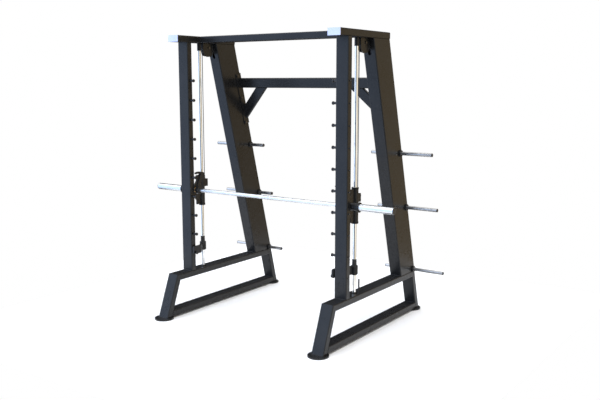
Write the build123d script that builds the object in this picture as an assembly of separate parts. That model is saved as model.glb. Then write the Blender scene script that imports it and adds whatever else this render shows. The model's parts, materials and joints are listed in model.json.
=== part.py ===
from build123d import *
import math
import os

# A smith machine: two side frames of rectangular tube, joined at the top, carry two vertical guide rods.
# A carriage on each rod holds the barbell, which hooks over studs on the front uprights, and cables over
# pulleys tie the carriages to counterweights that run inside the leaning rear uprights.
# Millimetres. X runs along the bar, Y from front to back and Z up. The origin is on the floor, in the middle.
# Lists and functions give the right side (+X); mirror_left() makes the left one.

# Small roundings of turned parts
EDGE_ROUNDING = 2

# Side frames
FRAME_HEIGHT = 2200
SIDE_X = 730
TUBE_WIDTH = 100
TUBE_DEPTH = 50
TUBE_WALL = 3
TUBE_CORNER = 8
UPRIGHT_FRONT_Y = -415
RAIL_FRONT_Y = -515
RAIL_CAP = 4
BASE_TOP_Z = 339
BASE_BOTTOM_Z = 12
KNEE_Y = -580
TOE_Y = -705
REAR_BACK_Y_AT_FLOOR = 730.2
REAR_LEAN_DEG = 14.955
REAR_DEPTH = 225
FOOT_Y = 690
FOOT_RADIUS = 75
PAD_RADIUS = 74
FOOT_PLATE = 6
PIN_Y = -161
PIN_RADIUS = 6
PIN_HEIGHT = 91

# Crossbars and braces
TOP_CROSSBAR_FRONT_Y = -266
TOP_CROSSBAR_DEPTH = 100
REAR_BAR_HEIGHT = 80
REAR_BAR_DEPTH = 30
REAR_BAR_LOW = 1867
BRACE_REACH = 2272
END_PLATE = 6
END_PLATE_DEPTH = 60
END_PLATE_SPAN = (1555, 1990)
END_BOLT_HEIGHTS = (1572, 1786, 1972)
END_BOLT_DEPTH = 45
BOLT_RADIUS = 6
BOLT_HEAD_RADIUS = 10
BOLT_HEAD = 8

# Guide rods, with a socket at the top and a flange at the foot
ROD_Y = -227
ROD_RADIUS = 12.5
SOCKET_RADIUS = 16
SOCKET_LENGTH = 59
FLANGE_RADIUS = 25
FLANGE = 5

# Catch studs up the inner faces of the front uprights
STUD_COUNT = 10
STUD_FIRST_Z = 488.3
STUD_PITCH = 151.9
STUD_REACH = 42
STUD_RADIUS = 9
STUD_HEAD_RADIUS = 12
STUD_HEAD = 12
STUD_HEAD_ROUNDING = 5
STUD_BOLT_RADIUS = 4
STUD_BOLT_DEPTH = 20
STUD_BOLT_HEAD_RADIUS = 5.5
STUD_BOLT_HEAD = 7

# Storage pegs through the rear uprights
PEG_HEIGHTS = (357, 878, 1309)
PEG_FROM_BACK = 32
PEG_RADIUS = 14
PEG_NECK_RADIUS = 13
PEG_OUTER_TIP_X = 1047
PEG_INNER_TIP_X = 533
PEG_CAP = 4
COLLAR_RADIUS = 25
COLLAR = 12

# Carriages: the plate's front edge is drawn from the rod's and the bar's axes
BAR_Y = -335
BAR_Z = 989
HOUSING_RADIUS = 24
HOUSING_BORE = 20
HOUSING_SPAN = (850, 1111)
BUSH_LENGTH = 45
RUNNING_GAP = 0.05
PLATE_THICK = 12
PLATE_SPAN = (862, 1100)
PLATE_EDGE_Y = -291
PLATE_LOW_STEP = 31
PLATE_BELOW_BAR = (15, -63)
PLATE_AT_BAR = -25
PLATE_ABOVE_BAR = (31, 50)
PLATE_TOP_STEP = 70
HUB_RADIUS = 27
HUB_BORE = 21
HUB_LENGTH = 60
CLAMP_BACK_Y = -165
CLAMP_WIDTH = 28
CLAMP_SPAN = (1002, 1062)
CLAMP_CORNER = 5

# Bar
BAR_RADIUS = 15
BAR_END_X = 1105
BAR_CAP = 5
SLEEVE_RADIUS = 25
CAP_RADIUS = 24
SLEEVE_START_X = 835
DRUM_RADIUS = 28
DRUM_START_X = 764
BAR_COLLAR_RADIUS = 36
BAR_COLLAR = 10

# Latch hooks, in the plane of the catch studs' shafts
HOOK_INNER_X = 655
HOOK_THICK = 16
HOOK_BOSS_RADIUS = 31
HOOK_BOSS_LENGTH = 25
HOOK_ARM_FRONT = 36
HOOK_ARM_BACK = 4
HOOK_ARM_FOOT = 27
HOOK_LIP_INNER = 135
HOOK_LIP = 14
HOOK_TIP_DEG = 127.5
HOOK_TURNED_BACK_DEG = 24

# Safety stops, resting on the lowest studs
STOP_SPAN = (476, 546)
STOP_RADIUS = 26
STOP_BEVEL = 5
STOP_BORE = 12.8
STOP_ARM_SPAN = (478, 541)
STOP_ARM_FRONT_Y = -414
STOP_ARM_ELBOW_Y = -335
SADDLE_RADIUS = 9.6
BUMPER_RADIUS = 17
BUMPER_NECK_RADIUS = 15.5
BUMPER_NECK_SPAN = (574, 578)
BUMPER_TOP_Z = 590

# Counterbalance
PULLEY_Y = -124
PULLEY_Z = 2118
PULLEY_PITCH_RADIUS = 68
PULLEY_RADIUS = 72
PULLEY_WIDTH = 14
PULLEY_WEB = 6
PULLEY_HUB_RADIUS = 16
PULLEY_RIM = 15
GROOVE_ROOT_GAP = 0.3
GROOVE_MOUTH = 10
AXLE_RADIUS = 6
AXLE_HEAD_RADIUS = 10
AXLE_HEAD = 6
PULLEY_ROOM_WIDTH = 18
PULLEY_ROOM_RADIUS = 76
SLOT_WIDTH = 26
SLOT_SPAN_Y = (-95, -25)
SLOT_LOW_Z = 2032
CHEEK = 4
CHEEK_FRONT = 68
CHEEK_BACK = 34
CHEEK_DOWN = 68
CHEEK_CORNER = 41
CABLE_RADIUS = 3
TAIL_LENGTH = 280
WEIGHT_WIDTH = 84
WEIGHT_DEPTH = 50
WEIGHT_LENGTH = 460
WEIGHT_BEVEL = 2
WEIGHT_EYE_RADIUS = 8
WEIGHT_EYE = 20
WEIGHT_WALL_GAP = 8.4

# Worked out from the above
LEAN = math.radians(REAR_LEAN_DEG)
LEAN_SLOPE = math.tan(LEAN)
RAIL_LOW_Z = FRAME_HEIGHT - TUBE_DEPTH
BASE_RAIL_LOW_Z = BASE_TOP_Z - TUBE_DEPTH
LOWER_RAIL_TOP_Z = BASE_BOTTOM_Z + TUBE_DEPTH
UPRIGHT_BACK_Y = UPRIGHT_FRONT_Y + TUBE_DEPTH
STUD_Y = UPRIGHT_FRONT_Y + TUBE_DEPTH / 2
INNER_X = SIDE_X - TUBE_WIDTH / 2
OUTER_X = SIDE_X + TUBE_WIDTH / 2
TOE_SLOPE = (KNEE_Y - TOE_Y) / (BASE_TOP_Z - BASE_BOTTOM_Z)
TOE_THICK_Y = TUBE_DEPTH * math.hypot(1, TOE_SLOPE)
PULLEY_CENTRE = Vector(SIDE_X, PULLEY_Y, PULLEY_Z)
DOWN_LEAN = Vector(0, math.sin(LEAN), -math.cos(LEAN))
CABLE_Y = PULLEY_Y - PULLEY_PITCH_RADIUS
CABLE_LEAVES = PULLEY_CENTRE + Vector(0, math.cos(LEAN), math.sin(LEAN)) * PULLEY_PITCH_RADIUS
# The rear bar and braces lie in this plane, flush with the rear uprights' backs: X, then up the slope.
BACK_PLANE_Z = (0, -math.cos(LEAN), -math.sin(LEAN))
BACK_PLANE = Plane(origin=(0, REAR_BACK_Y_AT_FLOOR, 0), x_dir=(1, 0, 0), z_dir=BACK_PLANE_Z)


def rear_back_y(z):
    return REAR_BACK_Y_AT_FLOOR - LEAN_SLOPE * z


def rear_front_y(z):
    return rear_back_y(z) - REAR_DEPTH / math.cos(LEAN)


def rear_leg_inner_y(z):
    return rear_back_y(z) - TUBE_DEPTH / math.cos(LEAN)


def toe_outer_y(z):
    return TOE_Y + TOE_SLOPE * (z - BASE_BOTTOM_Z)


def toe_inner_y(z):
    return toe_outer_y(z) + TOE_THICK_Y


def side_plate(points, low_x, high_x):
    """A flat plate across X, from its (y, z) outline."""
    return extrude(Plane.YZ.offset(low_x) * make_face(Polyline(*points, close=True)), high_x - low_x)


def rounded_prism(face, along, length, corner):
    """A prism with its edges along the tube rounded."""
    prism = extrude(face, length)
    return fillet(prism.edges().filter_by(Axis((0, 0, 0), tuple(along))), corner)


def tube(plane, width, edge_a, edge_b):
    """A hollow tube whose side view is the four-sided outline between two parallel edges, each given as its
    (start, end) in the plane. The ends follow the outline, so they can be mitred, and are open."""
    a, b, c, d = Vector(*edge_a[0]), Vector(*edge_a[1]), Vector(*edge_b[1]), Vector(*edge_b[0])
    along = (b - a).normalized()
    inward = (d - a) - along * (d - a).dot(along)
    depth = inward.length
    inward = inward.normalized()
    past = along * depth
    outer = [a, b, c, d]
    inner = [
        a + inward * TUBE_WALL - past,
        b + inward * TUBE_WALL + past,
        c - inward * TUBE_WALL + past,
        d - inward * TUBE_WALL - past,
    ]
    direction = plane.x_dir * along.X + plane.y_dir * along.Y
    solid = rounded_prism(plane * make_face(Polyline(*outer, close=True)), direction, width, TUBE_CORNER)
    hollow_plane = plane.offset(TUBE_WALL)
    hollow_face = hollow_plane * make_face(Polyline(*inner, close=True))
    hollow_width = width - 2 * TUBE_WALL
    return solid - rounded_prism(hollow_face, direction, hollow_width, TUBE_CORNER - TUBE_WALL)


def side_tube(edge_a, edge_b):
    """A tube of the right-hand side frame, from two edges of its (y, z) outline."""
    return tube(Plane.YZ.offset(INNER_X), TUBE_WIDTH, edge_a, edge_b)


def cylinder_x(radius, low_x, high_x, y, z):
    plane = Plane(origin=(low_x, y, z), x_dir=(0, 1, 0), z_dir=(1, 0, 0))
    return plane * Cylinder(radius, high_x - low_x, align=(Align.CENTER, Align.CENTER, Align.MIN))


def cylinder_z(radius, low_z, high_z, y, x=SIDE_X):
    return Pos(x, y, low_z) * Cylinder(radius, high_z - low_z, align=(Align.CENTER, Align.CENTER, Align.MIN))


def block(low, high):
    size = Vector(*high) - Vector(*low)
    return Pos(*low) * Box(size.X, size.Y, size.Z, align=(Align.MIN, Align.MIN, Align.MIN))


def mirror_left(shape):
    return mirror(shape, about=Plane.YZ)


def both_sides(shapes):
    """The right-hand solids and their mirror images, as one group of separate solids."""
    solids = []
    for shape in shapes:
        solids += shape.solids()
        solids += mirror_left(shape).solids()
    return Compound(children=solids)


def stud_heights():
    return [STUD_FIRST_Z + STUD_PITCH * i for i in range(STUD_COUNT)]


def peg_places():
    return [(rear_back_y(z) - PEG_FROM_BACK, z) for z in PEG_HEIGHTS]


def in_back_plane(x, slope_height, depth):
    return BACK_PLANE.from_local_coords(Vector(x, slope_height, depth))


# Side frames


def front_upright():
    low, high = BASE_TOP_Z, RAIL_LOW_Z
    front_edge = ((UPRIGHT_FRONT_Y, low), (UPRIGHT_FRONT_Y, high))
    back_edge = ((UPRIGHT_BACK_Y, low), (UPRIGHT_BACK_Y, high))
    shape = side_tube(front_edge, back_edge)
    for z in stud_heights():
        shape -= cylinder_x(STUD_BOLT_RADIUS, INNER_X, OUTER_X, STUD_Y, z)
    return shape


def rear_upright():
    low, high = BASE_TOP_Z, RAIL_LOW_Z
    front_edge = ((rear_front_y(low), low), (rear_front_y(high), high))
    back_edge = ((rear_back_y(low), low), (rear_back_y(high), high))
    shape = side_tube(front_edge, back_edge)
    for y, z in peg_places():
        shape -= cylinder_x(PEG_NECK_RADIUS, INNER_X, OUTER_X, y, z)
    for hole in crossbar_bolt_shanks():
        shape -= hole
    return shape - pulley_room() - pulley_slot()


def top_rail():
    low, high = RAIL_LOW_Z, FRAME_HEIGHT
    lower_edge = ((RAIL_FRONT_Y, low), (rear_back_y(low), low))
    upper_edge = ((RAIL_FRONT_Y, high), (rear_back_y(high), high))
    return side_tube(lower_edge, upper_edge) - pulley_room()


def rail_end_caps():
    low = (INNER_X, RAIL_FRONT_Y - RAIL_CAP, RAIL_LOW_Z)
    return both_sides([block(low, (OUTER_X, RAIL_FRONT_Y, FRAME_HEIGHT))])


def base_upper_rail():
    low, high = BASE_RAIL_LOW_Z, BASE_TOP_Z
    lower_edge = ((toe_inner_y(low), low), (rear_leg_inner_y(low), low))
    return side_tube(lower_edge, ((KNEE_Y, high), (rear_back_y(high), high)))


def base_lower_rail():
    low, high = BASE_BOTTOM_Z, LOWER_RAIL_TOP_Z
    lower_edge = ((toe_inner_y(low), low), (rear_leg_inner_y(low), low))
    upper_edge = ((toe_inner_y(high), high), (rear_leg_inner_y(high), high))
    return side_tube(lower_edge, upper_edge)


def front_leg():
    low, high = BASE_BOTTOM_Z, BASE_RAIL_LOW_Z
    outer_edge = ((TOE_Y, low), (KNEE_Y, BASE_TOP_Z))
    return side_tube(outer_edge, ((toe_inner_y(low), low), (toe_inner_y(high), high)))


def rear_leg():
    low, high = BASE_BOTTOM_Z, BASE_RAIL_LOW_Z
    inner_edge = ((rear_leg_inner_y(low), low), (rear_leg_inner_y(high), high))
    return side_tube(inner_edge, ((rear_back_y(low), low), (rear_back_y(BASE_TOP_Z), BASE_TOP_Z)))


def foot_plates():
    return both_sides([cylinder_z(FOOT_RADIUS, FOOT_PLATE, BASE_BOTTOM_Z, y) for y in (-FOOT_Y, FOOT_Y)])


def foot_pads():
    return both_sides([cylinder_z(PAD_RADIUS, 0, FOOT_PLATE, y) for y in (-FOOT_Y, FOOT_Y)])


def base_pin():
    """A short round pin that stands behind the right-hand guide rod."""
    shape = cylinder_z(PIN_RADIUS, BASE_TOP_Z, BASE_TOP_Z + PIN_HEIGHT, PIN_Y)
    return fillet(shape.edges().group_by(Axis.Z)[-1], PIN_RADIUS / 2)


# Crossbars and braces


def top_crossbar():
    back_y = TOP_CROSSBAR_FRONT_Y + TOP_CROSSBAR_DEPTH
    plane = Plane(origin=(0, 0, RAIL_LOW_Z), x_dir=(1, 0, 0), z_dir=(0, 0, 1))
    front_edge = ((-INNER_X, TOP_CROSSBAR_FRONT_Y), (INNER_X, TOP_CROSSBAR_FRONT_Y))
    return tube(plane, TUBE_DEPTH, front_edge, ((-INNER_X, back_y), (INNER_X, back_y)))


def rear_crossbar():
    end_x = INNER_X - END_PLATE
    high = REAR_BAR_LOW + REAR_BAR_HEIGHT
    low_edge = ((-end_x, REAR_BAR_LOW), (end_x, REAR_BAR_LOW))
    return tube(BACK_PLANE, REAR_BAR_DEPTH, low_edge, ((-end_x, high), (end_x, high)))


def rear_brace():
    """A 45 degree strut from the rear bar's underside to the end plate."""
    end_x = INNER_X - END_PLATE
    upper_reach = BRACE_REACH + REAR_BAR_HEIGHT * math.sqrt(2)
    return tube(
        BACK_PLANE,
        REAR_BAR_DEPTH,
        ((end_x, BRACE_REACH - end_x), (BRACE_REACH - REAR_BAR_LOW, REAR_BAR_LOW)),
        ((end_x, upper_reach - end_x), (upper_reach - REAR_BAR_LOW, REAR_BAR_LOW)),
    )


def crossbar_bolt_shanks():
    places = [in_back_plane(INNER_X, height, END_BOLT_DEPTH) for height in END_BOLT_HEIGHTS]
    return [cylinder_x(BOLT_RADIUS, INNER_X - END_PLATE, INNER_X + STUD_BOLT_DEPTH, p.Y, p.Z) for p in places]


def crossbar_end_plates():
    low, high = END_PLATE_SPAN
    face = Pos(INNER_X - END_PLATE, low) * Rectangle(END_PLATE, high - low, align=(Align.MIN, Align.MIN))
    shape = extrude(BACK_PLANE * face, END_PLATE_DEPTH)
    for hole in crossbar_bolt_shanks():
        shape -= hole
    return both_sides([shape])


def crossbar_bolts():
    bolts = []
    for shank in crossbar_bolt_shanks():
        centre = shank.center()
        head_x = INNER_X - END_PLATE - BOLT_HEAD
        head_plane = Plane(origin=(head_x, centre.Y, centre.Z), x_dir=(0, 1, 0), z_dir=(1, 0, 0))
        head = extrude(head_plane * RegularPolygon(BOLT_HEAD_RADIUS, 6), BOLT_HEAD)
        bolts.append(head + shank)
    return both_sides(bolts)


# Guide rods


def guide_rod():
    return cylinder_z(ROD_RADIUS, BASE_TOP_Z, RAIL_LOW_Z, ROD_Y)


def rod_sockets():
    flange = cylinder_z(FLANGE_RADIUS, BASE_TOP_Z, BASE_TOP_Z + FLANGE, ROD_Y)
    socket = cylinder_z(SOCKET_RADIUS, RAIL_LOW_Z - SOCKET_LENGTH, RAIL_LOW_Z, ROD_Y)
    return both_sides([flange - guide_rod(), socket - guide_rod()])


# Catch studs


def catch_studs():
    studs = []
    for z in stud_heights():
        head_x = INNER_X - STUD_REACH
        head = cylinder_x(STUD_HEAD_RADIUS, head_x, head_x + STUD_HEAD, STUD_Y, z)
        head = fillet(head.edges().group_by(Axis.X)[0], STUD_HEAD_ROUNDING)
        shaft = cylinder_x(STUD_RADIUS, head_x + STUD_HEAD, INNER_X, STUD_Y, z)
        thread = cylinder_x(STUD_BOLT_RADIUS, INNER_X - STUD_BOLT_DEPTH, INNER_X, STUD_Y, z)
        studs.append(head + shaft - thread)
    return both_sides(studs)


def stud_bolts():
    bolts = []
    for z in stud_heights():
        head = cylinder_x(STUD_BOLT_HEAD_RADIUS, OUTER_X, OUTER_X + STUD_BOLT_HEAD, STUD_Y, z)
        head = fillet(head.edges().group_by(Axis.X)[-1], EDGE_ROUNDING)
        bolts.append(head + cylinder_x(STUD_BOLT_RADIUS, INNER_X - STUD_BOLT_DEPTH, OUTER_X, STUD_Y, z))
    return both_sides(bolts)


# Storage pegs


def storage_pegs():
    pegs = []
    for y, z in peg_places():
        neck = cylinder_x(PEG_NECK_RADIUS, INNER_X - COLLAR, OUTER_X + COLLAR, y, z)
        outer = cylinder_x(PEG_RADIUS, OUTER_X + COLLAR, PEG_OUTER_TIP_X - PEG_CAP, y, z)
        inner = cylinder_x(PEG_RADIUS, PEG_INNER_TIP_X + PEG_CAP, INNER_X - COLLAR, y, z)
        pegs.append(neck + outer + inner)
    return both_sides(pegs)


def peg_collars():
    collars = []
    for y, z in peg_places():
        for low_x in (OUTER_X, INNER_X - COLLAR):
            ring = cylinder_x(COLLAR_RADIUS, low_x, low_x + COLLAR, y, z)
            ring = fillet(ring.edges(), EDGE_ROUNDING)
            collars.append(ring - cylinder_x(PEG_NECK_RADIUS, low_x, low_x + COLLAR, y, z))
    return both_sides(collars)


def peg_end_caps():
    caps = []
    for y, z in peg_places():
        for low_x in (PEG_OUTER_TIP_X - PEG_CAP, PEG_INNER_TIP_X):
            caps.append(cylinder_x(PEG_NECK_RADIUS, low_x, low_x + PEG_CAP, y, z))
    return both_sides(caps)


# Carriages


def carriage_housing():
    low, high = HOUSING_SPAN
    return cylinder_z(HOUSING_RADIUS, low, high, ROD_Y) - cylinder_z(HOUSING_BORE, low, high, ROD_Y)


def carriage_bushes():
    low, high = HOUSING_SPAN
    bushes = []
    for start in (low, high - BUSH_LENGTH):
        bush = cylinder_z(HOUSING_BORE, start, start + BUSH_LENGTH, ROD_Y)
        bushes.append(bush - cylinder_z(ROD_RADIUS + RUNNING_GAP, start, start + BUSH_LENGTH, ROD_Y))
    return both_sides(bushes)


def carriage_plate():
    """An upright plate in front of the housing, with a hub that holds the bar's bush."""
    low_z, high_z = PLATE_SPAN
    outline = [
        (ROD_Y, low_z),
        (PLATE_EDGE_Y, low_z),
        (PLATE_EDGE_Y, low_z + PLATE_LOW_STEP),
        (BAR_Y + PLATE_BELOW_BAR[0], BAR_Z + PLATE_BELOW_BAR[1]),
        (BAR_Y + PLATE_AT_BAR, BAR_Z),
        (BAR_Y + PLATE_ABOVE_BAR[0], BAR_Z + PLATE_ABOVE_BAR[1]),
        (PLATE_EDGE_Y, BAR_Z + PLATE_TOP_STEP),
        (PLATE_EDGE_Y, high_z),
        (ROD_Y, high_z),
    ]
    half = PLATE_THICK / 2
    plate = side_plate(outline, SIDE_X - half, SIDE_X + half)
    hub_low, hub_high = SIDE_X - HUB_LENGTH / 2, SIDE_X + HUB_LENGTH / 2
    plate += cylinder_x(HUB_RADIUS, hub_low, hub_high, BAR_Y, BAR_Z)
    plate -= cylinder_x(HUB_BORE, hub_low, hub_high, BAR_Y, BAR_Z)
    return plate - cylinder_z(HOUSING_RADIUS, *HOUSING_SPAN, ROD_Y)


def bar_bushes():
    low_x, high_x = SIDE_X - HUB_LENGTH / 2, SIDE_X + HUB_LENGTH / 2
    bush = cylinder_x(HUB_BORE, low_x, high_x, BAR_Y, BAR_Z)
    return both_sides([bush - cylinder_x(BAR_RADIUS + RUNNING_GAP, low_x, high_x, BAR_Y, BAR_Z)])


def cable_clamps():
    half = CLAMP_WIDTH / 2
    body = block((SIDE_X - half, ROD_Y, CLAMP_SPAN[0]), (SIDE_X + half, CLAMP_BACK_Y, CLAMP_SPAN[1]))
    body = fillet(body.edges().filter_by(Axis.Z).group_by(Axis.Y)[-1], CLAMP_CORNER)
    return both_sides([body - cylinder_z(HOUSING_RADIUS, *HOUSING_SPAN, ROD_Y)])


# Bar


def bar_shaft():
    return cylinder_x(BAR_RADIUS, BAR_CAP - BAR_END_X, BAR_END_X - BAR_CAP, BAR_Y, BAR_Z)


def bar_sleeves():
    sleeve = cylinder_x(SLEEVE_RADIUS, SLEEVE_START_X, BAR_END_X - BAR_CAP, BAR_Y, BAR_Z)
    return both_sides([sleeve - bar_shaft()])


def bar_collars():
    """A drum between the hub and the sleeve, with a flange that plates stop against."""
    flange = cylinder_x(BAR_COLLAR_RADIUS, SLEEVE_START_X - BAR_COLLAR, SLEEVE_START_X, BAR_Y, BAR_Z)
    drum = cylinder_x(DRUM_RADIUS, DRUM_START_X, SLEEVE_START_X - BAR_COLLAR, BAR_Y, BAR_Z)
    return both_sides([fillet(flange.edges(), EDGE_ROUNDING) + drum - bar_shaft()])


def bar_end_caps():
    cap = cylinder_x(CAP_RADIUS, BAR_END_X - BAR_CAP, BAR_END_X, BAR_Y, BAR_Z)
    return both_sides([fillet(cap.edges().group_by(Axis.X)[-1], BAR_CAP / 2)])


def turned_back(shape):
    """Places a shape drawn round the bar's axis, turned back far enough to clear the studs."""
    return Pos(0, BAR_Y, BAR_Z) * Rot(-HOOK_TURNED_BACK_DEG, 0, 0) * shape


def latch_hook():
    """A plate on the bar with a lip that closes over a catch stud, turned back so that it is clear of the
    studs. The lip is round the bar's axis, so turning the bar forwards carries it over the stud."""
    outer_x = HOOK_INNER_X + HOOK_THICK
    lip_outer = HOOK_LIP_INNER + HOOK_LIP
    lip_middle = HOOK_LIP_INNER + HOOK_LIP / 2
    arm = side_plate(
        [
            (-HOOK_BOSS_RADIUS, 0),
            (-HOOK_ARM_FRONT, HOOK_BOSS_RADIUS),
            (-HOOK_ARM_FRONT, lip_middle),
            (-HOOK_ARM_BACK, lip_middle),
            (-HOOK_ARM_BACK, 2 * HOOK_BOSS_RADIUS),
            (HOOK_ARM_FOOT, HOOK_BOSS_RADIUS / 2),
            (0, 0),
        ],
        HOOK_INNER_X,
        outer_x,
    )
    disc = cylinder_x(lip_outer, HOOK_INNER_X, outer_x, 0, 0)
    ring = disc - cylinder_x(HOOK_LIP_INNER, HOOK_INNER_X, outer_x, 0, 0)
    tip = math.radians(HOOK_TIP_DEG)
    reach = 2 * lip_outer
    past_tip = (reach * math.cos(tip), reach * math.sin(tip))
    wedge = [(0, 0), past_tip, (-HOOK_ARM_BACK, reach), (-HOOK_ARM_BACK, 0)]
    lip = ring & side_plate(wedge, HOOK_INNER_X, outer_x)
    tip_centre = (lip_middle * math.cos(tip), lip_middle * math.sin(tip))
    lip += cylinder_x(HOOK_LIP / 2, HOOK_INNER_X, outer_x, *tip_centre)
    boss = cylinder_x(HOOK_BOSS_RADIUS, HOOK_INNER_X, outer_x, 0, 0)
    return turned_back((arm & disc) + lip - boss)


def hook_bosses():
    low_x = HOOK_INNER_X - (HOOK_BOSS_LENGTH - HOOK_THICK) / 2
    boss = cylinder_x(HOOK_BOSS_RADIUS, low_x, low_x + HOOK_BOSS_LENGTH, BAR_Y, BAR_Z)
    boss = fillet(boss.edges(), EDGE_ROUNDING)
    return both_sides([boss - bar_shaft()])


# Safety stops


def stop_saddle():
    """The straight end of a stop's arm, with a notch that sits over the lowest stud."""
    low, high = STOP_ARM_SPAN
    outer_x = HOOK_INNER_X + HOOK_THICK
    saddle = block((HOOK_INNER_X, STOP_ARM_FRONT_Y, low), (outer_x, STOP_ARM_ELBOW_Y, high))
    saddle = fillet(saddle.edges().filter_by(Axis.X).group_by(Axis.Y)[0], HOOK_THICK / 2)
    notch = cylinder_x(SADDLE_RADIUS, HOOK_INNER_X, outer_x, STUD_Y, STUD_FIRST_Z)
    front_y, back_y = STUD_Y - SADDLE_RADIUS, STUD_Y + SADDLE_RADIUS
    notch += block((HOOK_INNER_X, front_y, low - SADDLE_RADIUS), (outer_x, back_y, STUD_FIRST_Z))
    return saddle - notch


def stop_body():
    """A barrel on the guide rod, with an arm that goes forwards and inwards to the stud."""
    low, high = STOP_SPAN
    barrel = cylinder_z(STOP_RADIUS, low, high, ROD_Y)
    barrel = chamfer(barrel.edges(), STOP_BEVEL)
    arm_low, arm_high = STOP_ARM_SPAN
    half = HOOK_THICK / 2
    elbow = Vector(HOOK_INNER_X + half, STOP_ARM_ELBOW_Y)
    rod = Vector(SIDE_X, ROD_Y)
    across = (rod - elbow).normalized().rotate(Axis.Z, 90) * half
    link_face = make_face(Polyline(elbow + across, rod + across, rod - across, elbow - across, close=True))
    link = extrude(Plane.XY.offset(arm_low) * link_face, arm_high - arm_low)
    corner = cylinder_z(half, arm_low, arm_high, elbow.Y, elbow.X)
    return barrel + link + corner + stop_saddle() - cylinder_z(STOP_BORE, low, high, ROD_Y)


def stop_bumper():
    """A rubber sleeve with a groove below its top ring."""
    neck_low, neck_high = BUMPER_NECK_SPAN
    shape = cylinder_z(BUMPER_RADIUS, STOP_SPAN[1], neck_low, ROD_Y)
    shape += cylinder_z(BUMPER_NECK_RADIUS, neck_low, neck_high, ROD_Y)
    shape += fillet(cylinder_z(BUMPER_RADIUS, neck_high, BUMPER_TOP_Z, ROD_Y).edges(), EDGE_ROUNDING)
    return shape - cylinder_z(STOP_BORE, STOP_SPAN[1], BUMPER_TOP_Z, ROD_Y)


# Counterbalance


def pulley_room():
    """The room that the pulley takes in the rail's underside and the rear upright's top."""
    half = PULLEY_ROOM_WIDTH / 2
    return cylinder_x(PULLEY_ROOM_RADIUS, SIDE_X - half, SIDE_X + half, PULLEY_Y, PULLEY_Z)


def pulley_slot():
    """A slot with a round lower end, through the front wall of the rear upright."""
    half = SLOT_WIDTH / 2
    front_y, back_y = SLOT_SPAN_Y
    end_z = SLOT_LOW_Z + half
    slot = block((SIDE_X - half, front_y, end_z), (SIDE_X + half, back_y, RAIL_LOW_Z))
    end_plane = Plane(origin=(SIDE_X, front_y, end_z), x_dir=(1, 0, 0), z_dir=(0, 1, 0))
    return slot + end_plane * Cylinder(half, back_y - front_y, align=(Align.CENTER, Align.CENTER, Align.MIN))


def pulley():
    half, web_half = PULLEY_WIDTH / 2, PULLEY_WEB / 2
    root = PULLEY_PITCH_RADIUS - CABLE_RADIUS - GROOVE_ROOT_GAP
    rim_inner = PULLEY_RADIUS - PULLEY_RIM
    bore = AXLE_RADIUS + RUNNING_GAP
    side = [
        (CABLE_RADIUS + GROOVE_ROOT_GAP, root),
        (GROOVE_MOUTH / 2, PULLEY_RADIUS),
        (half, PULLEY_RADIUS),
        (half, rim_inner),
        (web_half, rim_inner),
        (web_half, PULLEY_HUB_RADIUS),
        (half, PULLEY_HUB_RADIUS),
        (half, bore),
    ]
    outline = side + [(-x, r) for x, r in reversed(side)]
    plane = Plane(origin=PULLEY_CENTRE, x_dir=(1, 0, 0), z_dir=(0, -1, 0))
    return revolve(plane * make_face(Polyline(*outline, close=True)), Axis(PULLEY_CENTRE, (1, 0, 0)), 360)


def pulley_cheeks():
    """Plates under the top rail, one each side of the pulley."""
    low_z = PULLEY_Z - CHEEK_DOWN
    low = (PULLEY_Y - CHEEK_FRONT, low_z)
    high = (PULLEY_Y + CHEEK_BACK, RAIL_LOW_Z)
    half = PULLEY_ROOM_WIDTH / 2
    plates = []
    for low_x in (SIDE_X - half - CHEEK, SIDE_X + half):
        plate = block((low_x, *low), (low_x + CHEEK, *high))
        corner = plate.edges().filter_by(Axis.X).group_by(Axis.Z)[0].sort_by(Axis.Y)[0]
        plate = fillet(corner, CHEEK_CORNER)
        plates.append(plate - cylinder_x(AXLE_RADIUS, low_x, low_x + CHEEK, PULLEY_Y, PULLEY_Z))
    return both_sides(plates)


def pulley_axles():
    face = PULLEY_ROOM_WIDTH / 2 + CHEEK
    axle = cylinder_x(AXLE_RADIUS, SIDE_X - face, SIDE_X + face, PULLEY_Y, PULLEY_Z)
    for low_x in (SIDE_X - face - AXLE_HEAD, SIDE_X + face):
        plane = Plane(origin=(low_x, PULLEY_Y, PULLEY_Z), x_dir=(0, 1, 0), z_dir=(1, 0, 0))
        axle += extrude(plane * RegularPolygon(AXLE_HEAD_RADIUS, 6), AXLE_HEAD)
    return both_sides([axle])


def cable_front():
    return both_sides([cylinder_z(CABLE_RADIUS, CLAMP_SPAN[1], PULLEY_Z, CABLE_Y)])


def cable_wraps():
    section = Plane(origin=(SIDE_X, CABLE_Y, PULLEY_Z), z_dir=(0, 0, 1)) * Circle(CABLE_RADIUS)
    return both_sides([revolve(section, Axis(PULLEY_CENTRE, (-1, 0, 0)), 180 - REAR_LEAN_DEG)])


def down_the_tube(length):
    """A plane square to the cable inside the rear upright, this far below the pulley."""
    return Plane(origin=CABLE_LEAVES + DOWN_LEAN * length, x_dir=(1, 0, 0), z_dir=DOWN_LEAN)


def cable_tails():
    tail = Cylinder(CABLE_RADIUS, TAIL_LENGTH, align=(Align.CENTER, Align.CENTER, Align.MIN))
    return both_sides([down_the_tube(0) * tail])


def counterweight():
    """A steel bar hung by an eye near its front, which slides inside the rear upright."""
    align = (Align.CENTER, Align.MAX, Align.MIN)
    weight = Pos(0, WEIGHT_WALL_GAP, WEIGHT_EYE) * Box(WEIGHT_WIDTH, WEIGHT_DEPTH, WEIGHT_LENGTH, align=align)
    weight = chamfer(weight.edges().filter_by(Axis.Z), WEIGHT_BEVEL)
    eye = Cylinder(WEIGHT_EYE_RADIUS, WEIGHT_EYE, align=(Align.CENTER, Align.CENTER, Align.MIN))
    return down_the_tube(TAIL_LENGTH) * (weight + eye)


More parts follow.
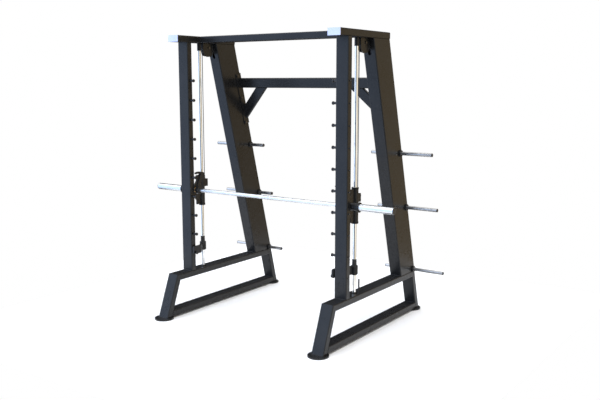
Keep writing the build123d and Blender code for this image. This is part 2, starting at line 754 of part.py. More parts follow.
SIDED = {
    "front_upright": front_upright,
    "rear_upright": rear_upright,
    "top_rail": top_rail,
    "base_upper_rail": base_upper_rail,
    "base_lower_rail": base_lower_rail,
    "front_leg": front_leg,
    "rear_leg": rear_leg,
    "rear_brace": rear_brace,
    "guide_rod": guide_rod,
    "carriage_housing": carriage_housing,
    "carriage_plate": carriage_plate,
    "latch_hook": latch_hook,
    "stop_body": stop_body,
    "stop_bumper": stop_bumper,
    "pulley": pulley,
    "counterweight": counterweight,
}
SHARED = {
    "top_crossbar": top_crossbar,
    "rear_crossbar": rear_crossbar,
    "crossbar_end_plates": crossbar_end_plates,
    "crossbar_bolts": crossbar_bolts,
    "rail_end_caps": rail_end_caps,
    "base_pin": base_pin,
    "rod_sockets": rod_sockets,
    "catch_studs": catch_studs,
    "stud_bolts": stud_bolts,
    "storage_pegs": storage_pegs,
    "peg_collars": peg_collars,
    "peg_end_caps": peg_end_caps,
    "carriage_bushes": carriage_bushes,
    "bar_bushes": bar_bushes,
    "cable_clamps": cable_clamps,
    "bar_shaft": bar_shaft,
    "bar_sleeves": bar_sleeves,
    "bar_collars": bar_collars,
    "hook_bosses": hook_bosses,
    "bar_end_caps": bar_end_caps,
    "pulley_cheeks": pulley_cheeks,
    "pulley_axles": pulley_axles,
    "cable_front": cable_front,
    "cable_wraps": cable_wraps,
    "cable_tails": cable_tails,
    "foot_plates": foot_plates,
    "foot_pads": foot_pads,
}


def all_parts():
    parts = {name: make() for name, make in SHARED.items()}
    for name, make in SIDED.items():
        right = make()
        parts[name + "_right"] = right
        parts[name + "_left"] = mirror_left(right)
    return parts


os.makedirs("parts", exist_ok=True)
for name, shape in all_parts().items():
    export_step(shape, f"parts/{name}.step")
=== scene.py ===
import json
import math

import bmesh
import bpy
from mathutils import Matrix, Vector


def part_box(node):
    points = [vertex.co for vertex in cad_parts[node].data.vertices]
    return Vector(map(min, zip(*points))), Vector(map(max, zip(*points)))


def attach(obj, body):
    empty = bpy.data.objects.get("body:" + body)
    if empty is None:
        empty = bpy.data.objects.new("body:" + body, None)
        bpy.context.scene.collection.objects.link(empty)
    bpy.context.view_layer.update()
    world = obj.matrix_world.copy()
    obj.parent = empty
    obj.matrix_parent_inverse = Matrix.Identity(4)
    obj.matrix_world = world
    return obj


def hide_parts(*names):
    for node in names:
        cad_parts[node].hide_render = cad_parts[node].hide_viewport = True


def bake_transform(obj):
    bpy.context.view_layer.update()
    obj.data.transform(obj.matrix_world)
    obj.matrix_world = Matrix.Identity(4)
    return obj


# Looks for a smith machine: materials for every CAD node, and the pieces that the CAD model leaves plain:
# rope cables, weld beads, rings, plugs and screws. Metres, in the CAD model's frame: X along the bar, Z up.

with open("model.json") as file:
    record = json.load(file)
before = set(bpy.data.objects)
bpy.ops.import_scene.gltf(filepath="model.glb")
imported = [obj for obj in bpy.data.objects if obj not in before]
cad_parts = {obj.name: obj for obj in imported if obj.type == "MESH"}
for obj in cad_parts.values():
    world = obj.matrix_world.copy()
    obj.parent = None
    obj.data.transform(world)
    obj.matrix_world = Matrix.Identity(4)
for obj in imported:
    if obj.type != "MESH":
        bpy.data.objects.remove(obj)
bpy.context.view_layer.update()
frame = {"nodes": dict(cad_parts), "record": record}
scene = bpy.context.scene
SIDES = {"left": -1, "right": 1}

# Camera, where the photograph was taken from

CAMERA_PLACE = (3.498, -4.836, 1.847)
CAMERA_YAW_DEG = 35.15
CAMERA_DOWN_DEG = 8.78
CAMERA_LENS_MM = 45.9
SENSOR_MM = 36.0


def add_camera():
    data = bpy.data.cameras.new("camera")
    data.lens = CAMERA_LENS_MM
    data.sensor_width = SENSOR_MM
    data.clip_end = 100
    camera = bpy.data.objects.new("camera", data)
    camera.location = CAMERA_PLACE
    camera.rotation_euler = (math.radians(90 - CAMERA_DOWN_DEG), 0, math.radians(CAMERA_YAW_DEG))
    scene.collection.objects.link(camera)
    scene.camera = camera


# Studio

SUN_STRENGTH = 2.45
SUN_SPREAD_DEG = 100
FLOOR_HALF_WIDTH = 2.0
SKY_DARK = (0.045, 0.045, 0.05)
# Towards, cosine at the edge, cosine at full strength, colour
SKY_LOBES = (
    ((0, -0.35, 1), 0.55, 0.95, (1.3, 1.3, 1.3)),
    ((-0.57, -0.81, 0.1), 0.3, 0.95, (1.1, 1.4, 1.95)),
    ((0.75, 0.6, -0.05), 0.55, 0.98, (0.72, 0.54, 0.3)),
    ((0.95, -0.3, 0.05), 0.72, 0.95, (1.0, 1.0, 0.95)),
    ((-0.97, 0.0, 0.1), 0.75, 0.97, (0.9, 0.92, 0.95)),
)


class Sky:
    """A studio sky: soft lobes of light round a dark room, and plain white where the camera sees it."""

    def __init__(self, dark):
        world = bpy.data.worlds.new("studio")
        scene.world = world
        world.use_nodes = True
        self.tree = world.node_tree
        self.back = self.tree.nodes["Background"]
        self.way = self.tree.nodes.new("ShaderNodeTexCoord").outputs["Generated"]
        glow = self.tree.nodes.new("ShaderNodeRGB")
        glow.outputs[0].default_value = (*dark, 1)
        self.glow = glow.outputs[0]

    def lobe(self, towards, edge, full, colour):
        """Adds light that grows from `edge` to `full`, both cosines of the angle from its middle."""
        dot = self.tree.nodes.new("ShaderNodeVectorMath")
        dot.operation = "DOT_PRODUCT"
        dot.inputs[1].default_value = Vector(towards).normalized()
        self.tree.links.new(self.way, dot.inputs[0])
        soft = self.tree.nodes.new("ShaderNodeMapRange")
        soft.interpolation_type = "SMOOTHSTEP"
        soft.inputs["From Min"].default_value = edge
        soft.inputs["From Max"].default_value = full
        self.tree.links.new(dot.outputs["Value"], soft.inputs["Value"])
        add = self.tree.nodes.new("ShaderNodeMixRGB")
        add.blend_type = "ADD"
        add.inputs["Color2"].default_value = (*colour, 1)
        self.tree.links.new(soft.outputs["Result"], add.inputs["Fac"])
        self.tree.links.new(self.glow, add.inputs["Color1"])
        self.glow = add.outputs["Color"]

    def finish(self):
        seen = self.tree.nodes.new("ShaderNodeLightPath").outputs["Is Camera Ray"]
        mix = self.tree.nodes.new("ShaderNodeMixRGB")
        mix.inputs["Color2"].default_value = (1, 1, 1, 1)
        self.tree.links.new(seen, mix.inputs["Fac"])
        self.tree.links.new(self.glow, mix.inputs["Color1"])
        self.tree.links.new(mix.outputs["Color"], self.back.inputs["Color"])


def add_sky():
    sky = Sky(SKY_DARK)
    for towards, edge, full, colour in SKY_LOBES:
        sky.lobe(towards, edge, full, colour)
    sky.finish()


def add_sun():
    data = bpy.data.lights.new("overhead", "SUN")
    data.energy = SUN_STRENGTH
    data.angle = math.radians(SUN_SPREAD_DEG)
    sun = bpy.data.objects.new("overhead", data)
    sun.location = (0, 0, 5)
    scene.collection.objects.link(sun)


def add_floor():
    mesh = bpy.data.meshes.new("floor")
    half = FLOOR_HALF_WIDTH
    corners = [(-half, -half, 0), (half, -half, 0), (half, half, 0), (-half, half, 0)]
    mesh.from_pydata(corners, [], [(0, 1, 2, 3)])
    floor = bpy.data.objects.new("floor", mesh)
    scene.collection.objects.link(floor)
    mesh.materials.append(floor_paint())


# Material helpers


class Shader:
    """A new material with one Principled shader, and short calls for the nodes that feed it."""

    def __init__(self, name, **values):
        self.material = bpy.data.materials.new(name)
        self.material.use_nodes = True
        self.tree = self.material.node_tree
        self.shader = self.tree.nodes["Principled BSDF"]
        for socket, value in values.items():
            self.shader.inputs[socket.replace("_", " ")].default_value = value
        self.place = self.node("ShaderNodeTexCoord").outputs["Object"]

    def node(self, kind, **settings):
        made = self.tree.nodes.new(kind)
        for key, value in settings.items():
            setattr(made, key, value)
        return made

    def link(self, out, into):
        self.tree.links.new(out, into)

    def stretch(self, scale):
        made = self.node("ShaderNodeMapping")
        made.inputs["Scale"].default_value = scale
        self.link(self.place, made.inputs["Vector"])
        return made.outputs["Vector"]

    def noise(self, scale, detail=2.0, roughness=0.5, vector=None):
        made = self.node("ShaderNodeTexNoise")
        made.inputs["Scale"].default_value = scale
        made.inputs["Detail"].default_value = detail
        made.inputs["Roughness"].default_value = roughness
        self.link(vector or self.place, made.inputs["Vector"])
        return made.outputs["Fac"]

    def ramp(self, value, stops):
        made = self.node("ShaderNodeValToRGB")
        elements = made.color_ramp.elements
        while len(elements) < len(stops):
            elements.new(0.5)
        for element, (place, colour) in zip(elements, stops):
            element.position = place
            element.color = (*colour, 1) if len(colour) == 3 else colour
        self.link(value, made.inputs["Fac"])
        return made.outputs["Color"]

    def spread(self, value, low, high):
        made = self.node("ShaderNodeMapRange")
        made.inputs["To Min"].default_value = low
        made.inputs["To Max"].default_value = high
        self.link(value, made.inputs["Value"])
        return made.outputs["Result"]

    def math(self, operation, a, b=None):
        made = self.node("ShaderNodeMath", operation=operation)
        for socket, value in zip(made.inputs, (a, b)):
            if isinstance(value, (int, float)):
                socket.default_value = value
            elif value is not None:
                self.link(value, socket)
        return made.outputs[0]

    def bump(self, height, strength, distance):
        made = self.node("ShaderNodeBump")
        made.inputs["Strength"].default_value = strength
        made.inputs["Distance"].default_value = distance
        self.link(height, made.inputs["Height"])
        before = self.shader.inputs["Normal"].links
        if before:
            self.link(before[0].from_socket, made.inputs["Normal"])
        self.link(made.outputs["Normal"], self.shader.inputs["Normal"])

    def colour(self, out):
        self.link(out, self.shader.inputs["Base Color"])

    def rough(self, out):
        self.link(out, self.shader.inputs["Roughness"])


def tint(colour, factor):
    return tuple(min(1.0, c * factor) for c in colour)


# Materials


def floor_paint():
    m = Shader("floor_paint", Roughness=0.9)
    m.colour(m.ramp(m.noise(0.7, 3), [(0.3, (0.86, 0.86, 0.865)), (0.7, (0.9, 0.9, 0.9))]))
    return m.material


def powder_coat(name, colour, gloss=0.26, grain=1.0):
    """Black powder coat: slight orange peel, cloudy gloss and a faint dust in the colour."""
    m = Shader(name, Specular_IOR_Level=0.27)
    cloud = m.noise(6, 4, 0.6)
    m.colour(m.ramp(cloud, [(0.3, tint(colour, 0.82)), (0.7, tint(colour, 1.25))]))
    fine = m.noise(900, 2, 0.5)
    mixed = m.math("ADD", m.math("MULTIPLY", cloud, 0.7), m.math("MULTIPLY", fine, 0.3))
    m.rough(m.spread(mixed, gloss - 0.07, gloss + 0.12))
    m.bump(m.noise(420, 2, 0.55), 0.06 * grain, 0.0005)
    m.bump(fine, 0.04 * grain, 0.0003)
    return m.material


def polished_metal(name, colour, rough, along, lines=0.05):
    """Bright metal with fine polishing lines across its length, given as the axis number."""
    m = Shader(name, Metallic=1.0)
    cloud = m.noise(9, 3, 0.55)
    m.colour(m.ramp(cloud, [(0.3, tint(colour, 0.9)), (0.7, tint(colour, 1.06))]))
    scale = [60.0, 60.0, 60.0]
    scale[along] = 2600.0
    fine = m.noise(1, 2, 0.6, m.stretch(scale))
    mixed = m.math("ADD", m.math("MULTIPLY", cloud, 0.5), m.math("MULTIPLY", fine, 0.5))
    m.rough(m.spread(mixed, rough * 0.6, rough * 1.5))
    m.bump(fine, lines, 0.0002)
    return m.material


KNURL_BAR_RADIUS = 0.015
KNURL_RADIANS_PER_METRE = 1500.0


def knurled_bar(name, colour, rough, zones, axis_y, axis_z):
    """Satin chrome with diamond knurling in the given zones of |x|."""
    m = Shader(name, Metallic=1.0)
    cloud = m.noise(12, 3, 0.55)
    xyz = m.node("ShaderNodeSeparateXYZ")
    m.link(m.place, xyz.inputs[0])
    x, y, z = xyz.outputs
    turn = m.math("ARCTAN2", m.math("SUBTRACT", y, axis_y), m.math("SUBTRACT", z, axis_z))
    around = m.math("MULTIPLY", turn, KNURL_BAR_RADIUS * KNURL_RADIANS_PER_METRE)
    length = m.math("MULTIPLY", x, KNURL_RADIANS_PER_METRE)
    one = m.math("SINE", m.math("ADD", around, length))
    two = m.math("SINE", m.math("SUBTRACT", around, length))
    diamonds = m.math("MAXIMUM", one, two)
    inside = None
    reach = m.math("ABSOLUTE", x)
    for low, high in zones:
        zone = m.math("MULTIPLY", m.math("GREATER_THAN", reach, low), m.math("LESS_THAN", reach, high))
        inside = zone if inside is None else m.math("MAXIMUM", inside, zone)
    m.bump(m.math("MULTIPLY", diamonds, inside), 0.35, 0.0005)
    m.colour(m.ramp(cloud, [(0.3, tint(colour, 0.92)), (0.7, tint(colour, 1.05))]))
    base = m.spread(m.noise(1, 2, 0.6, m.stretch((2200, 50, 50))), rough * 0.7, rough * 1.3)
    m.rough(m.math("ADD", base, m.math("MULTIPLY", inside, 0.12)))
    return m.material


def moulded(name, colour, rough, pitch=700, depth=0.15):
    """Moulded rubber or plastic with a fine grain."""
    m = Shader(name)
    cloud = m.noise(20, 3, 0.6)
    grain = m.noise(pitch, 3, 0.6)
    m.colour(m.ramp(cloud, [(0.3, tint(colour, 0.8)), (0.7, tint(colour, 1.3))]))
    m.rough(m.spread(grain, rough - 0.1, rough + 0.12))
    m.bump(grain, depth, 0.0004)
    return m.material


def blackened_steel(name, colour, wear):
    """Black oxide that has rubbed bright in patches."""
    m = Shader(name, Metallic=1.0)
    patches = m.noise(160, 4, 0.7)
    m.colour(m.ramp(patches, [(0.45, colour), (0.72, wear)]))
    m.rough(m.spread(patches, 0.32, 0.55))
    m.bump(m.noise(900, 2, 0.5), 0.08, 0.0003)
    return m.material


def rope_jacket(name, colour):
    m = Shader(name)
    m.colour(m.ramp(m.noise(300, 3, 0.6), [(0.3, tint(colour, 0.7)), (0.7, tint(colour, 1.5))]))
    m.rough(m.spread(m.noise(500, 2), 0.35, 0.55))
    m.bump(m.noise(1200, 2), 0.12, 0.0002)
    return m.material


BLACK = (0.0115, 0.0118, 0.0125)
KNURLED_ZONES = ((0.19, 0.6), (0.0, 0.06))
bar_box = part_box("bar_shaft")
bar_y = (bar_box[0].y + bar_box[1].y) / 2
bar_z = (bar_box[0].z + bar_box[1].z) / 2

LOOKS = {
    "frame_paint": powder_coat("frame_powder_coat", BLACK),
    "carriage_paint": powder_coat("carriage_powder_coat", tint(BLACK, 0.9), 0.3),
    "stop_paint": powder_coat("stop_powder_coat", tint(BLACK, 0.85), 0.36),
    "hook_steel": powder_coat("hook_powder_coat", tint(BLACK, 1.1), 0.3),
    "collar_black": powder_coat("collar_black", tint(BLACK, 0.8), 0.38),
    "guide_chrome": polished_metal("guide_chrome", (0.82, 0.82, 0.8), 0.09, 2, 0.03),
    "bar_chrome": knurled_bar("bar_chrome", (0.66, 0.68, 0.71), 0.2, KNURLED_ZONES, bar_y, bar_z),
    "peg_steel": polished_metal("peg_brushed_steel", (0.42, 0.42, 0.42), 0.3, 0, 0.12),
    "bolt_steel": blackened_steel("bolt_black_oxide", (0.07, 0.07, 0.075), (0.2, 0.19, 0.18)),
    "stud_steel": blackened_steel("stud_black_oxide", (0.03, 0.03, 0.032), (0.11, 0.105, 0.1)),
    "end_plate_aluminium": polished_metal("end_plate_aluminium", (0.6, 0.6, 0.72), 0.38, 2, 0.08),
    "cap_plastic": moulded("cap_plastic", (0.02, 0.02, 0.021), 0.5),
    "foot_rubber": moulded("foot_rubber", (0.018, 0.018, 0.018), 0.8, 500, 0.3),
    "bumper_rubber": moulded("bumper_rubber", (0.016, 0.016, 0.016), 0.7, 600, 0.25),
    "cable_jacket": rope_jacket("cable_jacket", (0.02, 0.02, 0.022)),
    "bush_plastic": moulded("bush_plastic", (0.5, 0.48, 0.43), 0.45, 900, 0.05),
    "bush_bronze": blackened_steel("bush_bronze", (0.42, 0.27, 0.12), (0.55, 0.38, 0.19)),
    "pulley_nylon": moulded("pulley_nylon", (0.03, 0.03, 0.032), 0.4, 900, 0.08),
    "weight_steel": powder_coat("weight_paint", (0.03, 0.03, 0.033), 0.45),
}


# Mesh pieces


def loft(loops, closed=False):
    """Vertices and faces of a skin over loops of equal length, capped unless it closes on itself."""
    count = len(loops[0])
    vertices = [tuple(point) for loop in loops for point in loop]
    faces = []
    for i in range(len(loops) if closed else len(loops) - 1):
        a, b = i * count, (i + 1) % len(loops) * count
        for k in range(count):
            n = (k + 1) % count
            faces.append((a + k, a + n, b + n, b + k))
    if not closed:
        faces.append(tuple(reversed(range(count))))
        faces.append(tuple(range(len(vertices) - count, len(vertices))))
    return vertices, faces


def add_piece(name, skins, slot, body=None, smooth_deg=40):
    """One object made of several closed skins, which rides on a body and takes its finish from a slot."""
    vertices, faces = [], []
    for skin_vertices, skin_faces in skins:
        start = len(vertices)
        vertices += skin_vertices
        faces += [tuple(start + i for i in face) for face in skin_faces]
    mesh = bpy.data.meshes.new(name)
    mesh.from_pydata(vertices, [], faces)
    work = bmesh.new()
    work.from_mesh(mesh)
    bmesh.ops.recalc_face_normals(work, faces=work.faces)
    for face in work.faces:
        face.smooth = True
    for edge in work.edges:
        edge.smooth = edge.calc_face_angle(0) < math.radians(smooth_deg)
    work.to_mesh(mesh)
    work.free()
    piece = bpy.data.objects.new(name, mesh)
    scene.collection.objects.link(piece)
    mesh.materials.append(LOOKS[slot])
    if body:
        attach(piece, body)
    return piece


def square_to(axis):
    """Two directions square to an axis and to each other."""
    w = Vector(axis).normalized()
    u = w.cross(Vector((0, 0, 1)) if abs(w.z) < 0.9 else Vector((1, 0, 0))).normalized()
    return u, w.cross(u), w


def circle(centre, u, v, radius, count):
    turns = [2 * math.pi * k / count for k in range(count)]
    return [centre + u * (radius * math.cos(t)) + v * (radius * math.sin(t)) for t in turns]


def ring(origin, axis, profile, count=48):
    """A closed profile of (radius, height) turned round an axis."""
    u, v, w = square_to(axis)
    origin = Vector(origin)
    return loft([circle(origin + w * h, u, v, r, count) for r, h in profile], closed=True)


def hexagon(centre, u, v, radius, count):
    """A hexagon with as many points as a circle has, so that the two can be lofted."""
    points = []
    for k in range(count):
        t = 2 * math.pi * k / count
        reach = radius / math.cos((t % (math.pi / 3)) - math.pi / 6)
        points.append(centre + u * (reach * math.cos(t)) + v * (reach * math.sin(t)))
    return points


def socket_screw(place, towards, radius, height):
    """The head of a screw with a hexagon socket, standing on a face."""
    count = 24
    u, v, w = square_to(towards)
    place = Vector(place)
    top = place + w * height
    return loft([
        circle(place - w * height * 0.3, u, v, radius, count),
        circle(place + w * height * 0.75, u, v, radius, count),
        circle(top, u, v, radius * 0.86, count),
        hexagon(top, u, v, radius * 0.45, count),
        hexagon(place + w * height * 0.35, u, v, radius * 0.45, count),
    ])


def weld_bead(start, end, radius=0.0026, ripple=0.0042):
    """A straight bead with the ripples that the torch leaves."""
    start, end = Vector(start), Vector(end)
    length = (end - start).length
    u, v, w = square_to(end - start)
    steps = max(8, round(length / (ripple / 4)))
    loops = []
    for i in range(steps + 1):
        along = length * i / steps
        taper = min(1, 0.35 + min(along, length - along) / (2 * radius))
        wave = 1 + 0.11 * math.sin(2 * math.pi * along / ripple)
        loops.append(circle(start + w * along, u, v, radius * taper * wave, 10))
    return loft(loops)


ROPE_STRANDS = 6
ROPE_PITCH = 0.045
ROPE_STEP = 0.003


def rope(points, start):
    """A laid rope through points in a plane across X; start is how far along the whole rope it begins."""
    side = Vector((1, 0, 0))
    count = 6 * ROPE_STRANDS
    loops = []
    travelled = start
    for i, point in enumerate(points):
        ahead = (points[min(i + 1, len(points) - 1)] - points[max(i - 1, 0)]).normalized()
        across = ahead.cross(side)
        if i:
            travelled += (point - points[i - 1]).length
        twist = 2 * math.pi * travelled / ROPE_PITCH
        loop = []
        for k in range(count):
            t = 2 * math.pi * k / count
            reach = cable_radius * (0.82 + 0.18 * abs(math.cos(ROPE_STRANDS * t / 2)))
            out = side * math.cos(t + twist) + across * math.sin(t + twist)
            loop.append(point + out * reach)
        loops.append(loop)
    return loft(loops), travelled


def straight(start, end):
    steps = math.ceil((end - start).length / ROPE_STEP)
    return [start.lerp(end, i / steps) for i in range(steps + 1)]


# Sizes taken from the CAD model


def middle(node):
    low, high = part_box(node)
    return (Vector(low) + Vector(high)) / 2


LEAN_SLOPE = 0.26709
LEAN = math.atan(LEAN_SLOPE)
TOE_SLOPE = 0.38226
REAR_TUBE_Y = 0.2329
CORNER = 0.009
front_low, front_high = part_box("cable_front")
cable_radius = (front_high.y - front_low.y) / 2
cable_y = (front_high.y + front_low.y) / 2
pulley_middle = middle("pulley_right")
cable_reach = pulley_middle.y - cable_y
TAIL_LENGTH = 0.28


# Counterbalance cables


def add_cable(side, sign):
    x = sign * pulley_middle.x
    centre = Vector((x, pulley_middle.y, pulley_middle.z))
    clamp_top = Vector((x, cable_y, front_low.z))
    tangent = Vector((x, cable_y, centre.z))
    front_points = straight(clamp_top, tangent)
    skin, travelled = rope(front_points, 0)
    front = add_piece(f"cable_front_rope_{side}", [skin], "cable_jacket")
    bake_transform(front)
    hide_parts("cable_front")

    sweep = math.pi - LEAN
    steps = math.ceil(sweep * cable_reach / ROPE_STEP)
    arc = []
    for i in range(steps + 1):
        turn = sweep * i / steps
        arc.append(centre + Vector((0, -math.cos(turn), math.sin(turn))) * cable_reach)
    skin, travelled = rope(arc, travelled)
    wrap = add_piece(f"cable_wrap_rope_{side}", [skin], "cable_jacket", "frame")
    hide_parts("cable_wraps")

    down = Vector((0, math.sin(LEAN), -math.cos(LEAN)))
    foot = arc[-1] + down * TAIL_LENGTH
    skin, _ = rope(straight(arc[-1], foot), travelled)
    tail = add_piece(f"cable_tail_rope_{side}", [skin], "cable_jacket")
    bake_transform(tail)
    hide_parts("cable_tails")


FERRULE_RADIUS = 0.0056
FERRULE_WAIST_RADIUS = FERRULE_RADIUS * 0.86
FERRULE_LENGTH = 0.028
# How far along, and how full, from waist to full radius
FERRULE_OUTLINE = (
    (0, 0.85), (0.04, 1), (0.26, 1), (0.32, 0), (0.4, 0), (0.46, 1),
    (0.6, 1), (0.66, 0), (0.74, 0), (0.8, 1), (0.94, 1), (1, 0.85),
)


def turned_profile(inner, low, high, length, outline):
    """The (radius, height) profile of a ring whose outside goes between the radii low and high."""
    outside = [(low + (high - low) * full, length * place) for place, full in outline]
    return [(inner, 0), *outside, (inner, length)]


def add_ferrule(side, sign):
    """A swaged sleeve on the rope where it enters the clamp, with two crimped waists."""
    inner = cable_radius * 0.9
    profile = turned_profile(inner, FERRULE_WAIST_RADIUS, FERRULE_RADIUS, FERRULE_LENGTH, FERRULE_OUTLINE)
    origin = (sign * pulley_middle.x, cable_y, front_low.z)
    add_piece(f"cable_ferrule_{side}", [ring(origin, (0, 0, 1), profile, 32)], "bolt_steel", "carriage")


# Carriage details

HOUSING_RING_LENGTH = 0.014
HOUSING_RING_PROUD = 0.0022
HOUSING_RING_INSET = 0.001
HOUSING_RING_OUTLINE = (
    (0, 0.5), (0.12, 1), (0.38, 1), (0.46, 0.35), (0.54, 0.35), (0.62, 1), (0.88, 1), (1, 0.5),
)
CLAMP_SCREW_RADIUS = 0.0045
CLAMP_SCREW_HEIGHT = 0.004
CLAMP_SCREW_FROM_BACK = 0.012
CLAMP_SCREW_FROM_END = 0.014
PLATE_HALF_THICK = 0.006
PLATE_BEAD_RADIUS = 0.0019
PLATE_BEAD_FROM_END = 0.03


def add_housing_rings(side):
    low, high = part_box(f"carriage_housing_{side}")
    centre = (low + high) / 2
    radius = (high.x - low.x) / 2
    proud = radius + HOUSING_RING_PROUD
    profile = turned_profile(radius * 0.99, radius, proud, HOUSING_RING_LENGTH, HOUSING_RING_OUTLINE)
    rings = []
    for z in (low.z + HOUSING_RING_INSET, high.z - HOUSING_RING_INSET - HOUSING_RING_LENGTH):
        rings.append(ring((centre.x, centre.y, z), (0, 0, 1), profile, 64))
    add_piece(f"housing_rings_{side}", rings, "collar_black", "carriage")


def add_clamp_screws(side, sign):
    low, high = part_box("cable_clamps")
    y = high.y - CLAMP_SCREW_FROM_BACK
    outer_x, inner_x = high.x, 2 * pulley_middle.x - high.x
    screws = []
    for z in (low.z + CLAMP_SCREW_FROM_END, high.z - CLAMP_SCREW_FROM_END):
        for x, towards in ((outer_x, sign), (inner_x, -sign)):
            place = (sign * x, y, z)
            screws.append(socket_screw(place, (towards, 0, 0), CLAMP_SCREW_RADIUS, CLAMP_SCREW_HEIGHT))
    add_piece(f"clamp_screws_{side}", screws, "bolt_steel", "carriage")


def add_plate_welds(side):
    """Beads where the carriage's plate meets its housing."""
    low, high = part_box(f"carriage_housing_{side}")
    centre = (low + high) / 2
    radius = (high.x - low.x) / 2
    y = centre.y - math.sqrt(radius**2 - PLATE_HALF_THICK**2)
    low_z, high_z = low.z + PLATE_BEAD_FROM_END, high.z - PLATE_BEAD_FROM_END
    beads = []
    for x in (centre.x - PLATE_HALF_THICK, centre.x + PLATE_HALF_THICK):
        beads.append(weld_bead((x, y, low_z), (x, y, high_z), PLATE_BEAD_RADIUS))
    add_piece(f"plate_welds_{side}", beads, "carriage_paint", "carriage")


# Frame details


def across_tube(box, y, z):
    """A bead along X at the joint of two tube faces, between their rounded corners."""
    return weld_bead((box[0].x + CORNER, y, z), (box[1].x - CORNER, y, z))


def add_frame_welds(side, sign):
    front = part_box(f"front_upright_{side}")
    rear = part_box(f"rear_upright_{side}")
    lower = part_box(f"base_lower_rail_{side}")
    beads = []
    for y in (front[0].y, front[1].y):
        for z in (front[0].z, front[1].z):
            beads.append(across_tube(front, y, z))
    for y, z in (
        (rear[1].y - REAR_TUBE_Y, rear[0].z),
        (rear[1].y, rear[0].z),
        (rear[0].y + REAR_TUBE_Y, rear[1].z),
    ):
        beads.append(across_tube(rear, y, z))
    rise = lower[1].z - lower[0].z
    beads.append(across_tube(lower, lower[0].y + TOE_SLOPE * rise, lower[1].z))
    beads.append(across_tube(lower, lower[1].y - LEAN_SLOPE * rise, lower[1].z))
    front_leg, rear_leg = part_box(f"front_leg_{side}"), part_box(f"rear_leg_{side}")
    beads.append(across_tube(front_leg, front_leg[0].y, front_leg[0].z))
    beads.append(across_tube(rear_leg, rear_leg[1].y, rear_leg[0].z))
    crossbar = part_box("top_crossbar")
    end_x = sign * crossbar[1].x
    for y in (crossbar[0].y, crossbar[1].y):
        beads.append(weld_bead((end_x, y, crossbar[0].z + CORNER), (end_x, y, crossbar[1].z - CORNER)))
    add_piece(f"frame_welds_{side}", beads, "frame_paint", "frame")


def rounded_rectangle(centre, width, height, corner, count=8):
    """Points round a rectangle that faces along Y."""
    points = []
    for k, (sx, sz) in enumerate(((1, 1), (-1, 1), (-1, -1), (1, -1))):
        for i in range(count + 1):
            turn = math.pi / 2 * (k + i / count)
            x = sx * (width / 2 - corner) + corner * math.cos(turn)
            z = sz * (height / 2 - corner) + corner * math.sin(turn)
            points.append(Vector((centre.x + x, centre.y, centre.z + z)))
    return points


PLUG_WALL = 0.0034
# Out from the rail's end, in from its sides, corner radius
PLUG_STEPS = (
    (-0.012, PLUG_WALL, 0.005),
    (0, PLUG_WALL, 0.005),
    (0, 0.0004, 0.008),
    (0.001, 0.0004, 0.008),
    (0.0018, 0.0014, 0.007),
    (0.0018, 0.009, 0.004),
    (0.0009, 0.0098, 0.003),
)


def add_rail_plug(side):
    """A moulded plug in the open rear end of the top rail, with a sunk panel."""
    low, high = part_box(f"top_rail_{side}")
    width, height = high.x - low.x, high.z - low.z
    centre = Vector(((low.x + high.x) / 2, high.y, (low.z + high.z) / 2))
    loops = []
    for out, inset, corner in PLUG_STEPS:
        place = centre + Vector((0, out, 0))
        loops.append(rounded_rectangle(place, width - 2 * inset, height - 2 * inset, corner))
    add_piece(f"rail_plug_{side}", [loft(loops)], "cap_plastic", "frame")


FLANGE_THICK = 0.005
FLANGE_SCREW_CIRCLE = 0.0187
FLANGE_SCREW_TURNS_DEG = (90, 210, 330)
SOCKET_RADIUS = 0.016
SOCKET_SCREW_DROPS = (0.015, 0.042)
# Radius and height of a screw's head, here and below
FLANGE_SCREW_HEAD = (0.0036, 0.0016)
SOCKET_SCREW_HEAD = (0.003, 0.0014)


def add_socket_screws(side):
    rod = middle(f"guide_rod_{side}")
    low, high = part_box("rod_sockets")
    screws = []
    for turn_deg in FLANGE_SCREW_TURNS_DEG:
        turn = math.radians(turn_deg)
        x = rod.x + FLANGE_SCREW_CIRCLE * math.cos(turn)
        y = rod.y + FLANGE_SCREW_CIRCLE * math.sin(turn)
        screws.append(socket_screw((x, y, low.z + FLANGE_THICK), (0, 0, 1), *FLANGE_SCREW_HEAD))
    for drop in SOCKET_SCREW_DROPS:
        place = (rod.x, rod.y - SOCKET_RADIUS, high.z - drop)
        screws.append(socket_screw(place, (0, -1, 0), *SOCKET_SCREW_HEAD))
    add_piece(f"socket_screws_{side}", screws, "bolt_steel", "frame")


PEG_HEIGHTS = (0.357, 0.878, 1.309)
PEG_BACK_Y_AT_FLOOR = 0.6982
COLLAR_WIDTH = 0.012
COLLAR_RADIUS = 0.025
COLLAR_SCREW_HEAD = (0.003, 0.0012)


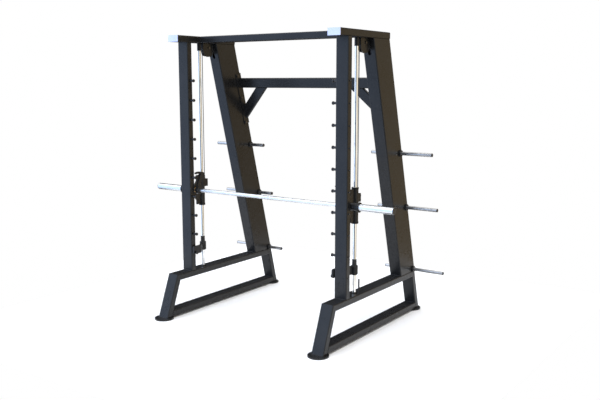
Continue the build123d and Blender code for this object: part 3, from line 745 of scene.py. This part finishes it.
def add_peg_screws(side, sign):
    low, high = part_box("front_upright_right")
    screws = []
    for z in PEG_HEIGHTS:
        y = PEG_BACK_Y_AT_FLOOR - LEAN_SLOPE * z
        for x in (high.x + COLLAR_WIDTH / 2, low.x - COLLAR_WIDTH / 2):
            screws.append(socket_screw((sign * x, y, z + COLLAR_RADIUS), (0, 0, 1), *COLLAR_SCREW_HEAD))
    add_piece(f"peg_collar_screws_{side}", screws, "bolt_steel", "frame")


BOSS_SCREW_FROM_FACE = 0.0035
DRUM_SCREW_X = 0.79
DRUM_RADIUS = 0.028
BOSS_SCREW_HEAD = (0.0028, 0.0014)
DRUM_SCREW_HEAD = (0.0036, 0.0016)


def add_bar_screws(side, sign):
    """Set screws in the hook's boss and in the collar's drum."""
    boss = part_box("hook_bosses")
    boss_x = sign * (boss[1].x - BOSS_SCREW_FROM_FACE)
    drum_x = sign * DRUM_SCREW_X
    screws = [
        socket_screw((boss_x, bar_y, boss[1].z), (0, 0, 1), *BOSS_SCREW_HEAD),
        socket_screw((drum_x, bar_y, bar_z + DRUM_RADIUS), (0, 0, 1), *DRUM_SCREW_HEAD),
        socket_screw((drum_x, bar_y - DRUM_RADIUS, bar_z), (0, -1, 0), *DRUM_SCREW_HEAD),
    ]
    add_piece(f"bar_set_screws_{side}", screws, "bolt_steel", "bar")


# Everything together


def dress_cad_nodes():
    slots = {entry["node"]: entry["material_slot"] for entry in frame["record"]["subparts"]}
    for name, piece in frame["nodes"].items():
        look = LOOKS[slots[name]]
        if not piece.material_slots:
            piece.data.materials.append(look)
        for place in piece.material_slots:
            place.material = look


add_camera()
add_sky()
add_sun()
add_floor()
dress_cad_nodes()
for side, sign in SIDES.items():
    add_cable(side, sign)
    add_ferrule(side, sign)
    add_housing_rings(side)
    add_clamp_screws(side, sign)
    add_plate_welds(side)
    add_frame_welds(side, sign)
    add_rail_plug(side)
    add_socket_screws(side)
    add_peg_screws(side, sign)
    add_bar_screws(side, sign)
scene.view_settings.view_transform = "Standard"
